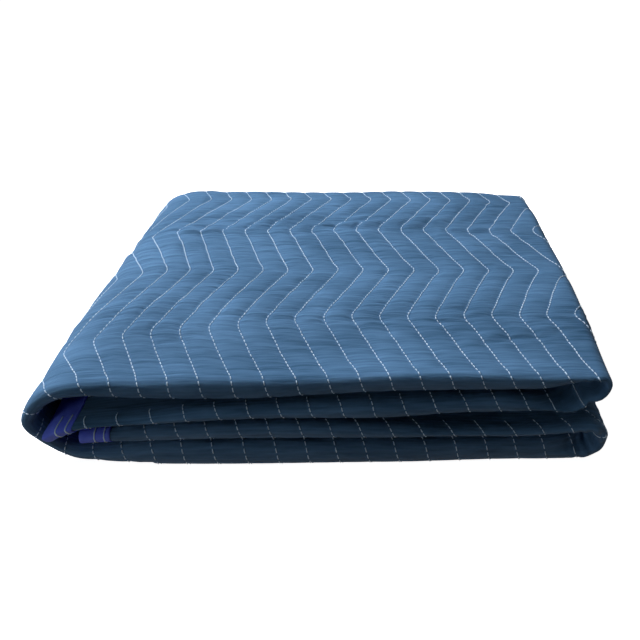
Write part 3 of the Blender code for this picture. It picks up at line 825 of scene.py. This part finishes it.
def tape_faces():
    """The folded tape's outer and inner face: for each, (distance in from the edge, lift) round it."""
    sewn = [min(abs(step * MM - seam) for seam in TAPE_SEAMS) for step in LEG]
    inner = HEM_PLY / 2 + TAPE_GAP
    dents = [SEAM_DENT * bell(gap, SEAM_WIDTH) for gap in sewn]
    upper = [(step * MM, inner + TAPE - dent) for step, dent in zip(LEG, dents)]
    under = [(step * MM, inner - 0.8 * dent) for step, dent in zip(LEG, dents)]
    turn = [(-0.62, 0.82), (-0.95, 0.45), (-1.05, 0.0)]  # mm past the edge, and share of the lift
    bend = [(x * MM, z * (inner + TAPE)) for x, z in turn]
    core = [(x * MM * 0.4, z * inner) for x, z in turn]
    faces = []
    for leg, middle in ((upper, bend), (under, core)):
        half = leg + middle
        faces.append(np.array(half + [(x, -z) for x, z in half[-2::-1]]))
    return faces


def tape_strip(name, stations, place):
    """A tape with its folded section at each station; place gives the flat sheet's along and across."""
    outer_face, inner_face = tape_faces()
    strip = padded_grid(name, len(outer_face), len(stations))
    column, row, outer = places_in(strip, len(outer_face), len(stations))
    section = np.where(outer[:, None], outer_face[column], inner_face[column])
    along, across = place(stations[row], section[:, 0])
    spots = folded(along, across, section[:, 1])
    widths = np.concatenate([[0], np.cumsum(np.hypot(*np.diff(outer_face, axis=0).T))])
    lay_out(strip, stations[row], widths[column])
    strip.data.vertices.foreach_set("co", spots.ravel())
    strip.data.update()
    bpy.ops.object.mode_set(mode="EDIT")
    bpy.ops.mesh.select_all(action="SELECT")
    bpy.ops.mesh.normals_make_consistent(inside=False)
    bpy.ops.object.mode_set(mode="OBJECT")
    bpy.ops.object.shade_smooth()
    return strip


def woven_polyester_tape():
    """Ribbed polyester tape, dyed royal blue: matt, with fine ribs across it about 0.5 mm apart."""
    material = bpy.data.materials.new("woven_polyester_tape")
    material.use_nodes = True
    tree = material.node_tree
    shader = tree.nodes["Principled BSDF"]
    shader.inputs["Roughness"].default_value = 0.8
    shader.inputs["Specular IOR Level"].default_value = 0.2
    pattern = add_node(tree, "ShaderNodeUVMap", uv_map="flat_pattern").outputs["UV"]
    turned = add_node(tree, "ShaderNodeMapping", [("Vector", pattern)], Scale=(830, 830, 1))
    ribs = add_node(tree, "ShaderNodeTexWave", [("Vector", turned.outputs[0])], Scale=0.8, Distortion=0.6)
    fade = add_node(tree, "ShaderNodeTexNoise", [("Vector", pattern)], Scale=90.0, Detail=3.0)
    tone = add_node(tree, "ShaderNodeMix", [("Factor", fade.outputs["Fac"])], data_type="RGBA")
    tone.inputs["A"].default_value = linear("#4A5CF0")
    tone.inputs["B"].default_value = linear("#738CFF")
    tree.links.new(tone.outputs["Result"], shader.inputs["Base Color"])
    bump = add_node(tree, "ShaderNodeBump", [("Height", ribs.outputs["Fac"])], Strength=0.5, Distance=0.0003)
    tree.links.new(bump.outputs[0], shader.inputs["Normal"])
    return material


cloth_columns, cloth_steps = sheet_columns()
cloth_rows, rows_kept = sheet_rows()
end_stations = cloth_rows[rows_kept | ((cloth_rows > ROW_MARKS[1]) & (cloth_rows < ROW_MARKS[2]))]
side_stations = cloth_columns[kept_columns(cloth_columns, cloth_steps, CHANNEL_STEPS // 2)]
from_ends = np.minimum(side_stations, LINE.length - side_stations)
side_stations = side_stations[from_ends > END_OVERLAP + MM]
side_stations = np.array([END_OVERLAP, *side_stations, LINE.length - END_OVERLAP])
tapes = {
    "end_binding_inner": tape_strip("end_tape_inner", end_stations, lambda s, inwards: (inwards, s)),
    "end_binding_drooping": tape_strip(
        "end_tape_drooping", end_stations, lambda s, inwards: (LINE.length - inwards, s)
    ),
    "side_binding_outer": tape_strip("side_tape_outer", side_stations, lambda s, inwards: (s, inwards)),
    "side_binding_inner": tape_strip(
        "side_tape_inner", side_stations, lambda s, inwards: (s, SHEET_WIDTH - inwards)
    ),
}
tape_finish = woven_polyester_tape()
for node, tape in tapes.items():
    tape.data.materials.clear()
    tape.data.materials.append(tape_finish)
    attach(tape, "root")
    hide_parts(node)


# ---------------------------------------------------------------------------------------------------------
# The binding's stitching
# Two rows of the same white thread along each end tape. It is pulled less tight than the quilting, and lies
# on the tape from stitch to stitch.
# ---------------------------------------------------------------------------------------------------------
SEAM_WAVER = 0.35 * MM
SEAM_RADIUS = 0.6 * MM
SEAM_RUNS = [  # from low to high across the sheet: round the front bight, and round the back fold
    (ROW_MARKS[1] - 12 * MM, ROW_MARKS[2] + 40 * MM),
    (ROW_MARKS[3] - 20 * MM, ROW_MARKS[4]),
]


def tape_seam(seam, at_drooping_end, low, high):
    """Points of one row of stitches along an end tape, from low to high across the sheet."""
    across, rise = stitches(low, high, lowest=0.05 * MM)
    inwards = seam + SEAM_WAVER * noise_at(across / (17 * MM), seam / MM)
    along = LINE.length - inwards if at_drooping_end else inwards
    return folded(along, across, HEM_PLY / 2 + TAPE_GAP + TAPE - SEAM_DENT + rise)


tape_thread = thread_piece(
    "tape_thread",
    [tape_seam(seam, end, *run) for end in (False, True) for seam in TAPE_SEAMS for run in SEAM_RUNS],
    radius=SEAM_RADIUS,
)
tape_thread.data.materials.append(thread_finish)
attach(tape_thread, "root")


# ---------------------------------------------------------------------------------------------------------
# The studio
# A plain white floor that glows a little, so that shadows on it are faint, a round softbox high up behind
# the left corner, a weak reflector low before the left corner, and the camera before the front.
# ---------------------------------------------------------------------------------------------------------
bpy.ops.object.select_all(action="DESELECT")
bpy.ops.mesh.primitive_plane_add(size=40, location=(0, 10, -0.3 * MM))  # just under the cloth
floor = bpy.context.object
floor.name = "floor"
floor.visible_diffuse = False  # so that it doesn't light the folds from below
matt_white = bpy.data.materials.new("matt_white_floor")
matt_white.use_nodes = True
paper = matt_white.node_tree
paper.nodes["Principled BSDF"].inputs["Base Color"].default_value = linear("#F7F8FA")
paper.nodes["Principled BSDF"].inputs["Roughness"].default_value = 0.9
paper.nodes["Principled BSDF"].inputs["Emission Color"].default_value = linear("#FFFFFF")
paper.nodes["Principled BSDF"].inputs["Emission Strength"].default_value = 0.95
floor.data.materials.append(matt_white)

lamps = [  # name, place, what it is aimed at, diameter, power in watts, spread in degrees
    ("softbox", (-1.25, 1.1, 1.75), (-0.22, 0.0, STACK), 0.9, 13.5, 70),
    ("left_reflector", (-1.2, -1.25, 0.2), (-0.2, -0.2, STACK / 2), 0.35, 2.9, 180),
]
for name, place, aim, size, power, spread in lamps:
    lamp = bpy.data.lights.new(name, "AREA")
    lamp.shape = "DISK"
    lamp.size = size
    lamp.energy = power
    lamp.spread = math.radians(spread)
    lamp_object = bpy.data.objects.new(name, lamp)
    bpy.context.scene.collection.objects.link(lamp_object)
    lamp_object.location = place
    lamp_object.rotation_euler = (Vector(aim) - Vector(place)).to_track_quat("-Z", "Y").to_euler()

# The room lights the stack from above, from 27 degrees up and most overhead, and is seen as white
world = bpy.data.worlds.new("dark_room_white_backdrop")
world.use_nodes = True
room = world.node_tree
room.nodes["Background"].inputs["Color"].default_value = (0.88, 0.94, 0.94, 1)
direction = add_node(room, "ShaderNodeTexCoord").outputs["Generated"]
sky = add_node(room, "ShaderNodeSeparateXYZ", [(0, direction)])
fill = add_node(room, "ShaderNodeMapRange", [("Value", sky.outputs["Z"])], From_Min=0.45, To_Max=0.35)
room.links.new(fill.outputs["Result"], room.nodes["Background"].inputs["Strength"])
backdrop = add_node(room, "ShaderNodeBackground", Color=(1, 1, 1, 1), Strength=1.0)
seen = add_node(room, "ShaderNodeLightPath").outputs["Is Camera Ray"]
both = add_node(room, "ShaderNodeMixShader", [(0, seen)])
room.links.new(room.nodes["Background"].outputs[0], both.inputs[1])
room.links.new(backdrop.outputs[0], both.inputs[2])
room.links.new(both.outputs[0], room.nodes["World Output"].inputs[0])
bpy.context.scene.world = world
bpy.context.scene.view_settings.view_transform = "Standard"

CAMERA_HEIGHT = 413 * MM
CAMERA_PITCH = 24.34
CAMERA_X = -14.5 * MM
CAMERA_Y = -867.5 * MM
camera = bpy.data.cameras.new("camera")
camera.lens = 50
camera.sensor_width = 36
camera_object = bpy.data.objects.new("camera", camera)
bpy.context.scene.collection.objects.link(camera_object)
camera_object.location = (CAMERA_X, CAMERA_Y, CAMERA_HEIGHT)
camera_object.rotation_euler = (math.radians(90 - CAMERA_PITCH), 0, 0)
bpy.context.scene.camera = camera_object
